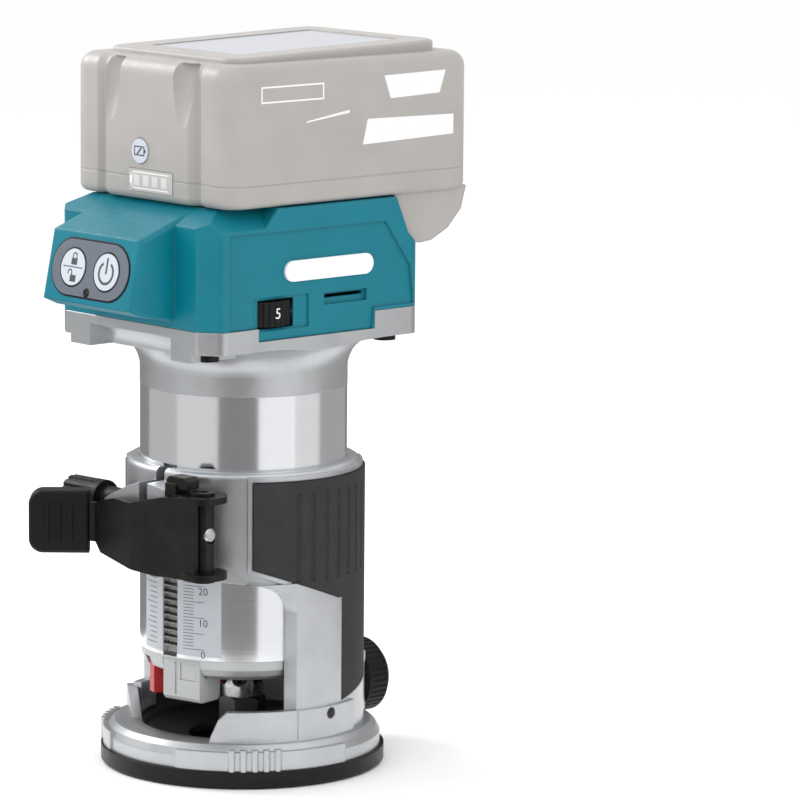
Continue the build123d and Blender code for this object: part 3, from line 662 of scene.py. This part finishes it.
def make_panel_seams():
    """Dark seams round both buttons and round the panel, and the lamp at its lower edge."""
    rims = Print(on_button_face, -0.25, -0.12)
    for x in (-8.0, 8.0):
        rims.arc(x, 0, 6.2, 5.8)
    rims.finish("button_rims", LOOKS["resin_black"], "motor")
    outline = Print(on_button_face, -0.7, -0.42)
    outline.arc(9.6, 0, 9.15, 8.45, -90, 90)
    outline.arc(-9.6, 0, 9.15, 8.45, 90, 270)
    outline.bar(-9.6, 9.6, 8.45, 9.15)
    outline.bar(-9.6, 9.6, -9.15, -8.45)
    outline.finish("panel_outline", LOOKS["resin_black"], "motor")
    lamp = Print(on_button_face, -0.5, -0.1)
    lamp.arc(0, -7.2, 1.4, 0.0)
    lamp.finish("panel_lamp", LOOKS["resin_black"], "motor")


def make_dial_figures():
    """The speeds 1 to 6 round the thumbwheel."""
    figures = Print(on_dial, -0.25, 0.03)
    for value in range(1, 7):
        figures.number(str(value), radians(40.0) * (5 - value) * dial_radius, 0.0, 3.4)
    figures.finish("dial_figures", LOOKS["print_light"], "dial")


def make_gauge_print():
    """The charge gauge: a battery outline with four bars, and the small one on its button."""
    low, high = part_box("gauge_panel")
    x0, x1 = low.x / MM + 1.2, high.x / MM - 0.5
    z0, z1 = low.z / MM + 0.7, high.z / MM - 0.7
    outline = Print(on_gauge)
    outline.bar(x0, x0 + 0.4, z0, z1)
    outline.bar(x0, x1 - 1.2, z0, z0 + 0.4)
    outline.bar(x0, x1 - 1.2, z1 - 0.4, z1)
    outline.bar(x0 - 0.9, x0, z0 + 1.5, z1 - 1.5)
    outline.finish("gauge_outline", LOOKS["print_light"], "battery")
    cells = Print(on_gauge)
    width = (x1 - x0 - 1.6) / 4
    for number in range(4):
        left = x0 + 1.1 + number * width
        cells.bar(left, left + width * 0.62, z0 + 1.0, z1 - 1.0)
    cells.finish("gauge_bars", LOOKS["print_pale"], "battery")
    low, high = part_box("gauge_button")
    middle = (low + high) / 2 / MM
    face = low.y / MM

    def on_gauge_button(x, y, depth):
        return mm(middle.x + x, face - depth, middle.z + y)

    icon = Print(on_gauge_button)
    icon.frame(-2.6, 2.3, -1.5, 1.5, 0.4)
    icon.bar(2.3, 2.9, -0.5, 0.5)
    icon.patch([(-1.5, -1.0), (-0.7, -1.0), (1.3, 1.0), (0.5, 1.0)])
    icon.finish("gauge_symbol", LOOKS["print_dark"], "gauge_button")


def make_pack_print():
    """Plain bars on both flanks of the pack."""
    for side, name in ((1, "right"), (-1, "left")):
        bars = Print(on_pack_side(side))
        bars.patch([(26.5, 211.0), (47.0, 211.6), (49.5, 218.6), (23.8, 218.2)])
        bars.frame(-26.3, -1.0, 212.4, 217.5, 0.5)
        bars.patch([(15.0, 197.4), (53.0, 198.4), (53.0, 204.6), (17.0, 205.2)])
        bars.patch([(-8.0, 205.6), (9.5, 207.6), (9.5, 208.5), (-8.0, 206.0)])
        bars.finish("pack_bars_" + name, LOOKS["print_light"], "battery")


def turn_at_clamp(point):
    return Matrix.Rotation(radians(clamp_turn), 4, "Z") @ point


def make_bolt():
    """The clamp bolt with its socket head and a cut thread on the end."""
    low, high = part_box("clamp_bolt")
    head_radius, shaft_radius = 3.7, 2.5
    start, head_end = -17.6, -13.1
    end = start + 43.0
    y, z = bolt_y, (low.z + high.z) / 2 / MM
    pitch, cut = 0.8, 0.34
    threaded = end - 9.0

    def ring(x, radius_at, sides=40):
        points = []
        for i in range(sides):
            a = 2 * pi * i / sides
            r = radius_at(a)
            points.append(turn_at_clamp(mm(x, y + r * cos(a), z + r * sin(a))))
        return points

    def hexagon(a):
        return 2.2 * cos(pi / 6) / cos((a + pi / 6) % (pi / 3) - pi / 6)

    rings = [ring(start + 2.2, lambda a: 0.3), ring(start + 2.2, hexagon), ring(start, hexagon),
             ring(start, lambda a: head_radius - 0.5), ring(start + 0.5, lambda a: head_radius),
             ring(head_end, lambda a: head_radius), ring(head_end, lambda a: shaft_radius),
             ring(threaded, lambda a: shaft_radius)]
    steps = int((end - threaded - 0.4) / pitch * 8)
    for i in range(1, steps + 1):
        x = threaded + (end - threaded - 0.4) * i / steps

        def thread(a, x=x):
            phase = ((x - threaded) / pitch - a / (2 * pi)) % 1.0
            return shaft_radius - cut * abs(2 * phase - 1)

        rings.append(ring(x, thread))
    rings.append(ring(end, lambda a: shaft_radius - 0.7))
    bolt = new_piece("clamp_bolt_threaded", grid_tube("clamp_bolt_threaded", rings),
                     LOOKS["fastener_steel"], "base")
    smooth(bolt, 35)
    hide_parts("clamp_bolt")


def make_spring():
    """Wound spring under the release latch."""
    low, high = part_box("latch_spring")
    middle = (low + high) / 2
    wire = 0.35
    coil = (high.x - low.x) / 2 / MM - wire
    turns, steps, sides = 4.0, 96, 10
    rings = []
    for i in range(steps + 1):
        a = 2 * pi * turns * i / steps
        z = low.z + wire * MM + (high.z - low.z - 2 * wire * MM) * i / steps
        out = Vector((cos(a), sin(a), 0))
        centre = Vector((middle.x, middle.y, z)) + out * coil * MM
        rings.append([centre + (out * cos(b) + Vector((0, 0, 1)) * sin(b)) * wire * MM
                      for b in (2 * pi * j / sides for j in range(sides))])
    spring = new_piece("latch_spring_coil", grid_tube("latch_spring_coil", rings), LOOKS["spring_steel"],
                       "battery")
    smooth(spring)
    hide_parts("latch_spring")
    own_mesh(spring)


make_scale_print()
make_button_symbols()
make_panel_seams()
make_dial_figures()
make_gauge_print()
make_pack_print()
make_bolt()
make_spring()
